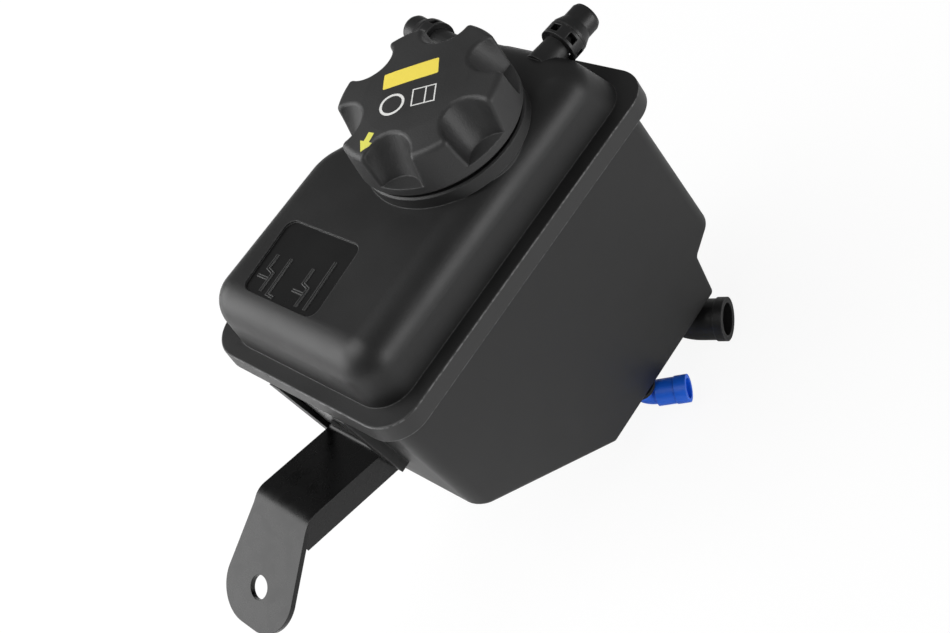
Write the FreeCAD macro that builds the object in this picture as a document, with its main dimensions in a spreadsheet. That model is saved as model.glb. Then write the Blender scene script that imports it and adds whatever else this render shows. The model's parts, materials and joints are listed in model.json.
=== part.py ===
import FreeCAD, Part
import math
import os
import Sketcher

Vector = FreeCAD.Vector
Rotation = FreeCAD.Rotation
Placement = FreeCAD.Placement

# Sizes in millimetres and degrees, heights are above or below the top of the joint flange
SIZES = [
    ("bolt_to_front", 72.4), ("bolt_to_flange", 57.6),
    ("tank_width", 125.0), ("tank_length", 198.6), ("tank_depth", 150.0), ("wall", 3.0),
    ("flange_corner", 17.0), ("flange_lip", 8.0), ("flange_plate", 4.0),
    ("skirt_height", 10.0), ("skirt_wall", 2.5), ("skirt_edge", 0.8), ("skirt_draft", 4.0),
    ("nest_gap", 0.3),
    ("notch_width", 22.0), ("notch_start", 100.0), ("notch_length", 30.0),
    ("notch_round", 34.0), ("notch_hollow", 20.0),
    ("dome_height", 30.0), ("dome_corner", 16.0), ("dome_edge", 15.0),
    ("dome_draft", 4.0), ("dome_back_draft", 23.5),
    ("panel_width", 47.0), ("panel_length", 38.0), ("panel_depth", 1.0), ("panel_corner", 5.0),
    ("panel_middle", -8.3), ("panel_start", 22.8), ("panel_lean", 4.3),
    ("tub_side", 6.0), ("tub_front", 4.5), ("tub_back", 11.5), ("tub_corner", 8.0),
    ("front_lean", 4.0), ("back_lean", 8.0), ("side_lean", 0.4), ("tub_edge", 3.0),
    ("slope_start", 86.0), ("slope_start_reach", 11.5), ("slope_end_reach", 85.4),
    ("step_reach", 183.5), ("step_height", 118.0), ("step_rise", 0.6),
    ("neck_across", 13.3), ("neck_along", 121.8), ("neck_bore", 24.0), ("neck_radius", 28.0),
    ("neck_top", 39.5), ("neck_bottom", 4.5), ("collar_radius", 38.6), ("collar_top", 36.5),
    ("collar_thickness", 7.0), ("pedestal_radius", 36.0), ("pedestal_height", 20.0),
    ("knob_bottom", 39.0), ("knob_height", 23.5), ("knob_radius", 39.4), ("knob_draft", 1.0),
    ("knob_shoulder", 60.0), ("knob_round", 3.0), ("knob_land", 24.3), ("knob_wall", 4.0),
    ("knob_cavity", 30.0),
    ("grip_count", 6), ("grip_radius", 11.0), ("grip_floor", 4.5), ("grip_floor_reach", 32.0),
    ("grip_turn", -12.5), ("grip_edge", 1.8), ("hub_radius", 19.8), ("hub_wall", 2.5), ("hub_length", 11.0),
    ("plug_radius", 23.6), ("plug_bottom", 13.0), ("plug_flange", 29.5), ("plug_flange_height", 2.5),
    ("plug_spigot", 22.5), ("plug_spigot_height", 9.5), ("plug_ledge", 34.0), ("plug_pocket", 22.0),
    ("plug_lift", 0.3), ("housing_gap", 0.4), ("housing_foot", 23.2), ("housing_bottom", 3.0),
    ("housing_bead", 21.6), ("housing_bead_height", 2.0), ("housing_bore", 16.5),
    ("ring_wire", 1.5), ("ring_squeeze", 0.15), ("ring_upper", 9.5), ("ring_lower", 3.0),
    ("seat_plate", 4.0), ("seat_hole", 9.0), ("seat_height", 0.8), ("seat_land", 1.5),
    ("seal_gap", 0.1), ("seal_inner", 8.7), ("seal_outer", 12.5), ("seal_thickness", 1.2),
    ("plate_radius", 13.6), ("plate_thickness", 2.2), ("plate_guide", 9.8), ("plate_guide_wall", 1.4),
    ("plate_guide_height", 2.8), ("stem_radius", 2.2), ("stem_gap", 0.3), ("stem_top", 16.0),
    ("vacuum_disc", 6.5), ("vacuum_disc_height", 1.8), ("stem_head", 4.2), ("stem_head_height", 1.5),
    ("spring_radius", 12.0), ("spring_wire", 0.9), ("spring_turns", 4.5), ("spring_top", 27.0),
    ("vacuum_spring_radius", 3.3), ("vacuum_wire", 0.4), ("vacuum_turns", 4.5),
    ("retainer_thickness", 3.0), ("retainer_hole", 8.0), ("retainer_gap", 0.1),
    ("nipple_radius", 5.5), ("nipple_bore", 3.2), ("nipple_height", 24.0), ("nipple_root", 4.0),
    ("nipple_base", 7.2), ("nipple_taper", 0.6), ("nipple_end", 18.0),
    ("right_nipple_side", 35.2), ("right_nipple_back", 23.1), ("right_nipple_turn", 6.8),
    ("left_nipple_side", 12.6), ("left_nipple_back", 27.1), ("left_nipple_turn", 12.0),
    ("clip_radius", 9.3), ("clip_bore", 6.6), ("clip_start", 9.0), ("clip_length", 6.5),
    ("clip_window", 4.4), ("clip_window_length", 3.6), ("cap_gap", 0.2), ("cap_shoulder", 9.1),
    ("cap_lip", 1.4), ("cap_cone", 4.5), ("cap_body", 7.3), ("cap_end", 30.0), ("cap_round", 2.2),
    ("blind_ring_wire", 1.1),
    ("outlet_side", 27.0), ("outlet_along", 169.0), ("outlet_turn", 21.7), ("outlet_drop", 17.0),
    ("outlet_reach", 27.0), ("outlet_bend", 12.5), ("outlet_radius", 11.2), ("outlet_bore", 8.8),
    ("outlet_bead", 11.9), ("outlet_bead_length", 5.0),
    ("connector_side", 15.5), ("connector_along", 118.5), ("connector_turn", 32.4),
    ("connector_drop", 10.2), ("connector_reach", 24.0), ("connector_bend", 7.0),
    ("connector_radius", 5.8), ("connector_bore", 4.2), ("connector_bead", 7.4),
    ("connector_bead_length", 6.5), ("connector_rise", 7.0), ("connector_gap", 0.2),
    ("sleeve_radius", 7.0), ("sleeve_length", 10.0), ("sleeve_bore", 5.4), ("sleeve_bore_length", 12.0),
    ("grommet_radius", 8.5), ("grommet_height", 2.6), ("grommet_gap", 0.1),
    ("steel", 2.5), ("arm_width", 36.0), ("back_width", 44.0), ("bolt_hole", 5.5),
    ("leg_angle", 29.4), ("leg_length", 39.1), ("leg_end", 18.4), ("leg_width", 44.4),
    ("leg_round", 17.5),
    ("leg_stub", 14.0), ("leg_overlap", 6.0), ("arm_angle", 17.9),
    ("bend_inside", 6.0), ("root_inside", 2.0), ("back_gap", 0.3), ("back_top", 14.0),
    ("web_depth", 14.4), ("web_reach", 12.0), ("web_tail", 4.2),
    ("rail_web", 3.0), ("rail_lip", 2.0), ("rail_cover", 4.0), ("rail_gap", 0.3),
    ("rail_top", 7.0), ("rail_length", 50.0),
    ("cage_radius", 19.0), ("cage_wall", 2.0), ("cage_height", 77.0), ("cage_roof", 3.0),
    ("cage_slot", 8.0), ("cage_slot_foot", 8.0), ("cage_slot_top", 10.0),
    ("float_radius", 16.4), ("float_height", 35.0), ("float_rest", 0.3), ("float_chamfer", 5.0),
    ("rod_radius", 2.4), ("rod_length", 63.0), ("rod_gap", 0.4), ("rod_socket", 12.0),
]

doc = FreeCAD.newDocument("CoolantTank")
sheet = doc.addObject("Spreadsheet::Sheet", "Sizes")
for row, (name, value) in enumerate(SIZES, start=1):
    sheet.set("A%d" % row, name)
    sheet.set("B%d" % row, str(value))
    sheet.setAlias("B%d" % row, name)
doc.recompute()


class Size:
    """A number kept together with the sheet formula that gives it."""

    def __init__(self, number, formula):
        self.number = float(number)
        self.formula = formula

    def join(self, other, sign, number):
        return Size(number, "(%s %s %s)" % (self.formula, sign, as_size(other).formula))

    def __add__(self, other):
        return self.join(other, "+", self.number + as_size(other).number)

    def __sub__(self, other):
        return self.join(other, "-", self.number - as_size(other).number)

    def __mul__(self, other):
        return self.join(other, "*", self.number * as_size(other).number)

    def __truediv__(self, other):
        return self.join(other, "/", self.number / as_size(other).number)

    def __neg__(self):
        return Size(-self.number, "(0 - %s)" % self.formula)


def as_size(value):
    if isinstance(value, Size):
        return value
    return Size(value, repr(float(value)))


def size(name):
    return Size(sheet.get(name), "Sizes.%s" % name)


def sine(angle):
    return Size(math.sin(math.radians(angle.number)), "sin(%s)" % angle.formula)


def cosine(angle):
    return Size(math.cos(math.radians(angle.number)), "cos(%s)" % angle.formula)


def tangent(angle):
    return sine(angle) / cosine(angle)


def root(value):
    return Size(math.sqrt(value.number), "sqrt(%s)" % value.formula)


def bind(thing, prop, value):
    thing.setExpression(prop, as_size(value).formula)


# Helpers for bodies, sketches and features

def new_body(label):
    body = doc.addObject("PartDesign::Body", "Body")
    body.Label = label
    return body


def place(thing, across, along, height, turn=None):
    thing.Placement = Placement(Vector(0, 0, 0), turn or Rotation())
    bind(thing, "Placement.Base.x", across)
    bind(thing, "Placement.Base.y", along)
    bind(thing, "Placement.Base.z", height)


def new_feature(body, kind, name):
    feature = body.newObject("PartDesign::" + kind, name)
    body.Tip = feature
    return feature


def new_sketch(body, role, level=None):
    sketch = body.newObject("Sketcher::SketchObject", "Sketch")
    plane = [f for f in body.Origin.OriginFeatures if f.Role == role][0]
    sketch.AttachmentSupport = [(plane, "")]
    sketch.MapMode = "FlatFace"
    if level is not None:
        bind(sketch, "AttachmentOffset.Base.z", level)
    return sketch


def pin_point(sketch, line, end, across, up):
    first = sketch.addConstraint(Sketcher.Constraint("DistanceX", -1, 1, line, end, as_size(across).number))
    bind(sketch, "Constraints[%d]" % first, across)
    second = sketch.addConstraint(Sketcher.Constraint("DistanceY", -1, 1, line, end, as_size(up).number))
    bind(sketch, "Constraints[%d]" % second, up)


def polygon(body, role, corners, level=None):
    sketch = new_sketch(body, role, level)
    points = [Vector(as_size(a).number, as_size(b).number, 0) for a, b in corners]
    count = len(points)
    for i in range(count):
        sketch.addGeometry(Part.LineSegment(points[i], points[(i + 1) % count]), False)
    for i in range(count):
        sketch.addConstraint(Sketcher.Constraint("Coincident", i, 2, (i + 1) % count, 1))
    for i, (across, up) in enumerate(corners):
        pin_point(sketch, i, 1, across, up)
    return sketch


def circle(body, role, radius, across=0.0, up=0.0, level=None):
    sketch = new_sketch(body, role, level)
    middle = Vector(as_size(across).number, as_size(up).number, 0)
    sketch.addGeometry(Part.Circle(middle, Vector(0, 0, 1), as_size(radius).number), False)
    pin_point(sketch, 0, 3, across, up)
    tie = sketch.addConstraint(Sketcher.Constraint("Radius", 0, as_size(radius).number))
    bind(sketch, "Constraints[%d]" % tie, radius)
    return sketch


def pad(body, sketch, length, down=False, middle=False):
    feature = new_feature(body, "Pad", "Pad")
    feature.Profile = sketch
    bind(feature, "Length", length)
    feature.Reversed = down
    feature.Midplane = middle
    return feature


def cut_through(body, sketch):
    feature = new_feature(body, "Pocket", "Pocket")
    feature.Profile = sketch
    feature.Type = 1
    feature.Midplane = True
    return feature


def spread(body, feature, count, angle=360.0):
    pattern = new_feature(body, "PolarPattern", "Pattern")
    pattern.Originals = [feature]
    axis = [f for f in body.Origin.OriginFeatures if f.Role == "Z_Axis"][0]
    pattern.Axis = (axis, [""])
    pattern.Angle = angle
    bind(pattern, "Occurrences", count)
    body.Tip = pattern
    return pattern


def turned(label, profile):
    body = new_body(label)
    sketch = polygon(body, "XZ_Plane", profile)
    feature = new_feature(body, "Revolution", "Turned")
    feature.Profile = sketch
    feature.ReferenceAxis = (sketch, ["V_Axis"])
    feature.Angle = 360
    return body


def round_edges(body, radius, wanted):
    doc.recompute()
    base = body.Tip
    names = ["Edge%d" % (i + 1) for i, edge in enumerate(base.Shape.Edges) if wanted(edge)]
    feature = new_feature(body, "Fillet", "Round")
    feature.Base = (base, names)
    bind(feature, "Radius", radius)
    doc.recompute()


def slope_faces(body, angle, neutral, flip, wanted):
    doc.recompute()
    base = body.Tip
    names = []
    level = None
    for i, face in enumerate(base.Shape.Faces):
        normal = face.normalAt(0, 0)
        if normal.dot(neutral) > 0.99:
            level = "Face%d" % (i + 1)
        elif abs(normal.z) < 0.5 and wanted(normal):
            names.append("Face%d" % (i + 1))
    feature = new_feature(body, "Draft", "Slope")
    feature.Base = (base, names)
    feature.NeutralPlane = (base, [level])
    bind(feature, "Angle", angle)
    feature.Reversed = flip
    doc.recompute()


def touches(edge, across, along, height):
    goal = Vector(as_size(across).number, as_size(along).number, as_size(height).number)
    return min((v.Point - goal).Length for v in edge.Vertexes) < 0.05


def upright_at(across, along, height):
    def wanted(edge):
        if len(edge.Vertexes) < 2:
            return False
        rise = abs(edge.Vertexes[0].Z - edge.Vertexes[1].Z)
        return rise > 0.5 * edge.Length and touches(edge, across, along, height)
    return wanted


def round_corners(body, corners, height, radii):
    for (across, along), radius in zip(corners, radii):
        round_edges(body, radius, upright_at(across, along, height))


def fused(label, pieces):
    thing = doc.addObject("Part::MultiFuse", "Fuse")
    thing.Label = label
    thing.Shapes = pieces
    return thing


def cut(label, base, tool):
    thing = doc.addObject("Part::Cut", "Cut")
    thing.Label = label
    thing.Base = base
    thing.Tool = tool
    return thing


def rod(label, radius, length):
    thing = doc.addObject("Part::Cylinder", "Cylinder")
    thing.Label = label
    bind(thing, "Radius", radius)
    bind(thing, "Height", length)
    return thing


def ring(label, radius, wire):
    thing = doc.addObject("Part::Torus", "Ring")
    thing.Label = label
    bind(thing, "Radius1", radius)
    bind(thing, "Radius2", wire)
    return thing


# Places shared by several parts

wall = size("wall")
flange = size("bolt_to_flange")
front = size("bolt_to_front")
neck_x = size("neck_across")
neck_y = front + size("neck_along")
bottom = flange - size("tank_depth")
zero = as_size(0.0)


def plan(side, near, far):
    """Corners of the tank's plan with each side moved in by its own amount."""
    left = side - size("tank_width") / 2.0
    right = size("tank_width") / 2.0 - side
    width = size("notch_width")
    length = size("notch_length")
    slant = (root(width * width + length * length) - length) / width
    low = front + size("notch_start") - side * slant
    back = front + size("tank_length") - far
    return [
        (left, front + near), (right, front + near), (right, back), (left + width, back),
        (left + width, low + length), (left, low),
    ]


def plan_radii(side, corner):
    return [corner, corner, corner, corner, size("notch_hollow") + side, size("notch_round") - side]


def slab(label, inset, low, high, draft=None):
    """Flat plate with the tank's plan, moved in by an inset and narrower above by a draft."""
    body = new_body(label)
    corners = plan(inset, inset, inset)
    pad(body, polygon(body, "XY_Plane", corners, low), high - low)
    if draft:
        slope_faces(body, draft, Vector(0, 0, -1), False, lambda n: True)
    round_corners(body, corners, low, plan_radii(inset, size("flange_corner") - inset))
    return body


def dome_form(label, skin, low):
    """Domed block of the upper half, used outside and, moved in by the skin, inside."""
    inset = size("flange_lip") + skin
    high = flange + size("dome_height") - skin
    body = new_body(label)
    corners = plan(inset, inset, inset)
    pad(body, polygon(body, "XY_Plane", corners, low), high - low)
    below = Vector(0, 0, -1)
    slope_faces(body, size("dome_draft"), below, False, lambda n: n.y < 0.9)
    slope_faces(body, size("dome_back_draft"), below, False, lambda n: n.y > 0.9)
    round_corners(body, corners, low, plan_radii(inset, size("dome_corner") - skin))
    top = high.number
    round_edges(body, size("dome_edge") - skin, lambda e: e.BoundBox.ZMin > top - 0.01)
    return body


def tub_form(label, skin):
    """Deep block of the lower half with its sloping underside and stepped back."""
    high = flange - size("flange_plate")
    low = bottom + skin
    side = size("tub_side") + skin
    body = new_body(label)
    corners = plan(side, size("tub_front") + skin, size("tub_back") + skin)
    pad(body, polygon(body, "XY_Plane", corners, high), high - low, down=True)
    above = Vector(0, 0, 1)
    slope_faces(body, size("side_lean"), above, True, lambda n: abs(n.x) > 0.5)
    slope_faces(body, size("front_lean"), above, True, lambda n: n.y < -0.9)
    slope_faces(body, size("back_lean"), above, False, lambda n: n.y > 0.9)
    round_corners(body, corners, high, plan_radii(side, size("tub_corner") - skin))
    cut_through(body, polygon(body, "YZ_Plane", slope_corners(skin)))
    cut_through(body, polygon(body, "YZ_Plane", step_corners(skin)))
    return body


def soften_below(body, level):
    """Rounds the real edges of the tub's underside and leaves the seams of its rounded corners."""
    doc.recompute()
    shape = body.Tip.Shape
    round_edges(body, size("tub_edge"), lambda e: e.BoundBox.ZMax < level and is_sharp(shape, e))


def is_sharp(shape, edge):
    faces = shape.ancestorsOfType(edge, Part.Face)
    if len(faces) < 2:
        return False
    middle = edge.valueAt((edge.FirstParameter + edge.LastParameter) / 2.0)
    normals = [face.normalAt(*face.Surface.parameter(middle)) for face in faces]
    return normals[0].dot(normals[1]) < 0.95


def slope_corners(skin):
    """Wedge taken off below the sloping front underside."""
    near = front + size("slope_start_reach")
    upper = flange - size("slope_start")
    far = front + size("slope_end_reach")
    run = far - near
    fall = upper - bottom
    length = root(run * run + fall * fall)
    shift_along = skin * fall / length
    shift_up = skin * run / length
    start = (near - run * 0.5 + shift_along, upper + fall * 0.5 + shift_up)
    end = (far + run * 0.5 + shift_along, bottom - fall * 0.5 + shift_up)
    return [start, end, (start[0], end[1])]


def step_corners(skin):
    """Block taken off behind and below the stepped back."""
    near = front + size("step_reach") - skin
    upper = flange - size("step_height") + skin
    far = front + size("tank_length") + size("tank_width")
    low = bottom - size("tank_width")
    return [(near, low), (near, upper), (far, upper + (far - near) * size("step_rise")), (far, low)]


def elbow(label, name, radius, rise):
    """Round bar that comes down out of the tank bottom and bends to one side."""
    drop = size(name + "_drop")
    reach = size(name + "_reach")
    bend = size(name + "_bend")
    body = new_body(label)
    path = new_sketch(body, "XZ_Plane")
    d, e, b, r = drop.number, reach.number, bend.number, as_size(rise).number
    path.addGeometry(Part.LineSegment(Vector(0, r, 0), Vector(0, b - d, 0)), False)
    curve = Part.Circle(Vector(b, b - d, 0), Vector(0, 0, 1), b)
    path.addGeometry(Part.ArcOfCircle(curve, math.pi, 1.5 * math.pi), False)
    path.addGeometry(Part.LineSegment(Vector(b, -d, 0), Vector(e, -d, 0)), False)
    path.addConstraint(Sketcher.Constraint("Coincident", 0, 2, 1, 1))
    path.addConstraint(Sketcher.Constraint("Coincident", 1, 2, 2, 1))
    pin_point(path, 0, 1, zero, rise)
    pin_point(path, 0, 2, zero, bend - drop)
    pin_point(path, 2, 1, bend, -drop)
    pin_point(path, 2, 2, reach, -drop)
    tie = path.addConstraint(Sketcher.Constraint("Radius", 1, b))
    bind(path, "Constraints[%d]" % tie, bend)
    pipe = new_feature(body, "AdditivePipe", "Pipe")
    pipe.Profile = circle(body, "XY_Plane", radius, level=as_size(rise))
    pipe.Spine = (path, ["Edge1", "Edge2", "Edge3"])
    turn = Rotation(Vector(0, 0, 1), size(name + "_turn").number)
    place(body, port_across(name), front + size(name + "_along"), bottom, turn)
    return body


def port_across(name):
    return size("tank_width") / 2.0 - size(name + "_side")


def bead(body, name):
    length = size(name + "_bead_length")
    level = size(name + "_reach") - length
    sketch = circle(body, "YZ_Plane", size(name + "_bead"), zero, -size(name + "_drop"), level)
    pad(body, sketch, length)


def coil(label, radius, wire, turns, low, high):
    """Wire spring between two heights, its wire cut as six flats to stay light."""
    body = new_body(label)
    flat = wire * math.sqrt(0.75)
    half = wire / 2.0
    middle = low + wire
    hexagon = [
        (radius + wire, middle), (radius + half, middle + flat), (radius - half, middle + flat),
        (radius - wire, middle), (radius - half, middle - flat), (radius + half, middle - flat),
    ]
    sketch = polygon(body, "XZ_Plane", hexagon)
    feature = new_feature(body, "AdditiveHelix", "Coil")
    feature.Profile = sketch
    feature.ReferenceAxis = (sketch, ["V_Axis"])
    feature.Mode = 0
    height = high - low - wire * 2.0
    bind(feature, "Height", height)
    bind(feature, "Pitch", height / turns)
    return body


# Nipples, their blind caps and clip rings

def nipple_places():
    level = flange + size("nipple_height")
    right = Rotation(Vector(0, 0, 1), Vector(0, 1, 0))
    right = Rotation(Vector(0, 0, 1), -size("right_nipple_turn").number) * right
    left = Rotation(Vector(0, 0, 1), Vector(-1, 0, 0))
    left = Rotation(Vector(0, 0, 1), -size("left_nipple_turn").number) * left
    half = size("tank_width") / 2.0
    back = front + size("tank_length")
    right_x = half - size("right_nipple_side")
    left_x = size("notch_width") + size("left_nipple_side") - half
    return [
        ("right", right_x, back - size("right_nipple_back"), level, right),
        ("left", left_x, back - size("left_nipple_back"), level, left),
    ]


def nipple_stem(spot):
    low = -size("nipple_root")
    shoulder = size("clip_start") - size("cap_gap")
    base = size("nipple_base")
    slim = size("nipple_radius")
    body = turned(spot[0] + "_stem", [
        (zero, low), (base, low), (base - size("nipple_taper"), shoulder), (slim, shoulder),
        (slim, size("nipple_end")), (zero, size("nipple_end")),
    ])
    place(body, spot[1], spot[2], spot[3], spot[4])
    return body


def nipple_hole(spot):
    low = -size("nipple_root") - wall * 2.0
    high = size("nipple_end") + wall
    bore = size("nipple_bore")
    body = turned(spot[0] + "_bore", [(zero, low), (bore, low), (bore, high), (zero, high)])
    place(body, spot[1], spot[2], spot[3], spot[4])
    return body


def clip_ring(spot):
    low = size("clip_start")
    high = low + size("clip_length")
    outer = size("clip_radius")
    inner = size("clip_bore")
    body = turned(spot[0] + "_clip_ring", [(inner, low), (outer, low), (outer, high), (inner, high)])
    half = size("clip_window") / 2.0
    middle = (low + high) / 2.0
    tall = size("clip_window_length") / 2.0
    corners = [(-half, middle - tall), (half, middle - tall), (half, middle + tall), (-half, middle + tall)]
    window = cut_through(body, polygon(body, "XZ_Plane", corners))
    spread(body, window, as_size(3), 120.0)
    place(body, spot[1], spot[2], spot[3], spot[4])
    return body


def blind_cap(spot):
    gap = size("cap_gap")
    low = size("clip_start") + size("clip_length") + gap
    inner = size("nipple_radius") + gap
    roof = size("nipple_end") + gap
    lip = low + size("cap_lip")
    neck = lip + size("cap_cone")
    outer = size("cap_body")
    end = size("cap_end")
    soft = size("cap_round")
    profile = [
        (inner, low), (size("cap_shoulder"), low), (size("cap_shoulder"), lip), (outer, neck),
        (outer, end - soft), (outer - soft * 0.3, end - soft * 0.3), (outer - soft, end), (zero, end),
        (zero, roof), (inner, roof),
    ]
    body = turned(spot[0] + "_nipple_cap", profile)
    place(body, spot[1], spot[2], spot[3], spot[4])
    return body


def blind_seal(spot):
    wire = size("blind_ring_wire")
    middle = size("nipple_radius") + wire * 0.5
    level = size("clip_start") + size("clip_length") / 2.0
    seal = ring(spot[0] + "_nipple_seal", middle, wire * 0.45)
    ahead = spot[4].multVec(Vector(0, 0, 1))
    place(seal, spot[1] + level * ahead.x, spot[2] + level * ahead.y, spot[3] + level * ahead.z, spot[4])
    return seal


# Upper shell

def at_neck(body):
    place(body, neck_x, neck_y, flange)
    return body


def upper_shell():
    plate = slab("flange_plate", zero, flange - size("skirt_height"), flange, size("skirt_draft"))
    round_edges(plate, size("skirt_edge"), lambda e: e.BoundBox.ZLength < 0.01)
    skirt = slab("skirt_room", size("skirt_wall"), flange - size("skirt_height") - 1.0,
                 flange - size("flange_plate"))
    outside = dome_form("dome_outside", zero, flange - 1.0)
    inside = dome_form("dome_inside", wall, flange - size("skirt_height") - 1.0)
    collar = size("collar_radius")
    stand = size("pedestal_radius")
    high = size("collar_top")
    low = high - size("collar_thickness")
    pedestal = at_neck(turned("neck_stand", [
        (zero, high - size("pedestal_height")), (stand, high - size("pedestal_height")), (stand, low),
        (collar, low), (collar, high - 0.8), (collar - 0.8, high), (zero, high),
    ]))
    block = fused("upper_block", [plate, outside, pedestal])
    shell = cut("upper_hollow", block, fused("upper_room", [skirt, inside]))
    tube = size("neck_radius")
    neck = at_neck(turned("neck_tube", [
        (zero, -size("neck_bottom")), (tube, -size("neck_bottom")), (tube, size("neck_top")),
        (zero, size("neck_top")),
    ]))
    bore = size("neck_bore")
    hole = at_neck(turned("neck_hole", [
        (zero, -size("neck_bottom") - 1.0), (bore, -size("neck_bottom") - 1.0),
        (bore, size("neck_top") + 1.0), (zero, size("neck_top") + 1.0),
    ]))
    solids = [shell, neck]
    holes = [hole, level_panel()]
    for spot in nipple_places():
        solids.append(nipple_stem(spot))
        holes.append(nipple_hole(spot))
    return cut("upper_shell", fused("upper_solids", solids), fused("upper_holes", holes))


def level_panel():
    """Shallow recess in the top for the level diagram."""
    body = new_body("panel_recess")
    half = size("panel_width") / 2.0
    middle = size("panel_middle")
    near = front + size("panel_start")
    far = near + size("panel_length")
    lean = size("panel_length") * tangent(size("panel_lean"))
    corners = [
        (middle - half, near), (middle + half, near),
        (middle + half - lean, far), (middle - half - lean, far),
    ]
    floor = flange + size("dome_height") - size("panel_depth")
    pad(body, polygon(body, "XY_Plane", corners, floor), size("panel_depth") * 4.0)
    round_corners(body, corners, floor, [size("panel_corner")] * 4)
    return body


# Lower shell

def guide_rail(side):
    """Hooked rail on the front wall that holds one edge of the bracket's back plate."""
    body = new_body("guide_rail")
    inner = size("back_width") / 2.0 + size("rail_gap")
    outer = inner + size("rail_web")
    cover = inner - size("rail_cover")
    under = size("back_gap") + size("steel") + size("rail_gap")
    top = under + size("rail_lip")
    shape = [(inner, wall / 2.0), (outer, wall / 2.0), (outer, -top), (cover, -top), (cover, -under),
             (inner, -under)]
    if side < 0:
        shape = [(-across, along) for across, along in reversed(shape)]
    pad(body, polygon(body, "XY_Plane", shape, -size("rail_top")), size("rail_length"), down=True)
    tilt = Rotation(Vector(1, 0, 0), size("front_lean").number)
    place(body, zero, front + size("tub_front"), flange - size("flange_plate"), tilt)
    return body


def lower_shell():
    outside = tub_form("tub_outside", zero)
    soften_below(outside, flange.number - size("slope_start").number + 5.0)
    inside = tub_form("tub_inside", wall)
    lip = size("skirt_wall") + size("nest_gap")
    rim_low = flange - size("skirt_height") + size("nest_gap")
    rim = slab("lower_rim", lip, rim_low, flange - size("flange_plate"))
    pipe = elbow("outlet_pipe", "outlet", size("outlet_radius"), wall / 2.0)
    bead(pipe, "outlet")
    solids = fused("lower_solids", [outside, rim, guide_rail(1), guide_rail(-1), pipe])
    passage = elbow("outlet_passage", "outlet", size("outlet_bore"), wall * 2.0)
    port = rod("connector_port", size("connector_radius") + size("connector_gap"), wall * 4.0)
    place(port, port_across("connector"), front + size("connector_along"), bottom - wall)
    room = cut("lower_hollow", solids, fused("lower_room", [inside, port]))
    return cut("lower_shell", room, passage)


# Bracket

def mounting_bracket():
    steel = size("steel")
    half = steel / 2.0
    lean = size("front_lean")
    rise = size("leg_angle")
    fall = size("arm_angle")
    top_face = front + size("tub_front")
    off = (size("back_gap") + half) / cosine(lean)
    datum = flange - size("flange_plate")
    bend = (size("leg_length") * cosine(rise), size("leg_length") * sine(rise))
    wall_line = top_face - off + datum * tangent(lean)
    reach = (wall_line - bend[1] * tangent(lean) - bend[0]) / (cosine(fall) - sine(fall) * tangent(lean))
    heel = (bend[0] + reach * cosine(fall), bend[1] - reach * sine(fall))
    high = flange - size("back_top")
    head = (wall_line - high * tangent(lean), high)
    stub = size("leg_stub")
    toe = (bend[0] - stub * cosine(rise), bend[1] - stub * sine(rise))
    ways = [lean + 270.0, as_size(180.0) - fall, rise + 180.0]
    spots = [head, heel, bend, toe]
    inner = []
    outer = []
    for i, (along, up) in enumerate(spots):
        before = ways[max(i - 1, 0)]
        after = ways[min(i, 2)]
        mean = (before + after) / 2.0
        half_turn = (after - before) / 2.0
        shift = half / cosine(half_turn)
        inner.append((along - shift * sine(mean), up + shift * cosine(mean)))
        outer.append((along + shift * sine(mean), up - shift * cosine(mean)))
    body = new_body("mounting_bracket")
    strip = polygon(body, "YZ_Plane", inner + outer[::-1])
    pad(body, strip, size("arm_width"), middle=True)
    bends = [
        (outer[1], size("root_inside")), (inner[1], size("root_inside") + steel),
        (inner[2], size("bend_inside")), (outer[2], size("bend_inside") + steel),
    ]
    edge_x = size("arm_width") / 2.0
    for (along, up), radius in bends:
        round_edges(body, radius, fold_at(edge_x, along, up))
    leg_plate(body)
    for sign in (1.0, -1.0):
        web(body, sign, heel, bend)
    back_plate(body, inner, outer)
    bolt_hole(body)
    return body


def fold_at(across, along, up):
    def wanted(edge):
        wide = abs(edge.BoundBox.XLength - 2.0 * across.number) < 0.1
        return wide and touches(edge, across, along, up)
    return wanted


def leg_plate(body):
    """Flared and rounded end plate that carries the bolt hole."""
    narrow = size("arm_width") / 2.0
    wide = size("leg_width") / 2.0
    start = size("leg_length") - size("leg_overlap")
    end = -size("leg_end")
    corners = [(narrow, start), (-narrow, start), (-wide, zero), (-wide, end), (wide, end), (wide, zero)]
    sketch = polygon(body, "XY_Plane", corners)
    tilt = Rotation(Vector(1, 0, 0), size("leg_angle").number)
    sketch.AttachmentOffset = Placement(Vector(0, 0, 0), tilt)
    pad(body, sketch, size("steel"), middle=True)
    half = size("steel").number / 2.0
    for across in (wide.number, -wide.number):
        upper = tilt.multVec(Vector(across, end.number, half))
        lower = tilt.multVec(Vector(across, end.number, -half))
        round_edges(body, size("leg_round"), lambda e: touches(e, *upper) and touches(e, *lower))


def between(start, end, share):
    return (start[0] + (end[0] - start[0]) * share, start[1] + (end[1] - start[1]) * share)


def web(body, sign, heel, bend):
    """Side flange turned down under the arm."""
    steel = size("steel")
    rise = size("leg_angle")
    tail = (bend[0] - size("web_reach") * cosine(rise), bend[1] - size("web_reach") * sine(rise))
    below_tail = (tail[0], tail[1] - size("web_tail"))
    below_heel = (heel[0], heel[1] - size("web_depth"))
    corners = [heel, bend, tail, below_tail, below_heel]
    edge = size("arm_width") / 2.0
    if sign > 0:
        pad(body, polygon(body, "YZ_Plane", corners, edge - steel), steel)
    else:
        pad(body, polygon(body, "YZ_Plane", corners, -edge), steel)


def back_plate(body, inner, outer):
    """Wider plate that slides between the guide rails."""
    share = 0.8
    low_in = between(inner[0], inner[1], share)
    low_out = between(outer[0], outer[1], share)
    corners = [inner[0], low_in, low_out, outer[0]]
    pad(body, polygon(body, "YZ_Plane", corners), size("back_width"), middle=True)


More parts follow.
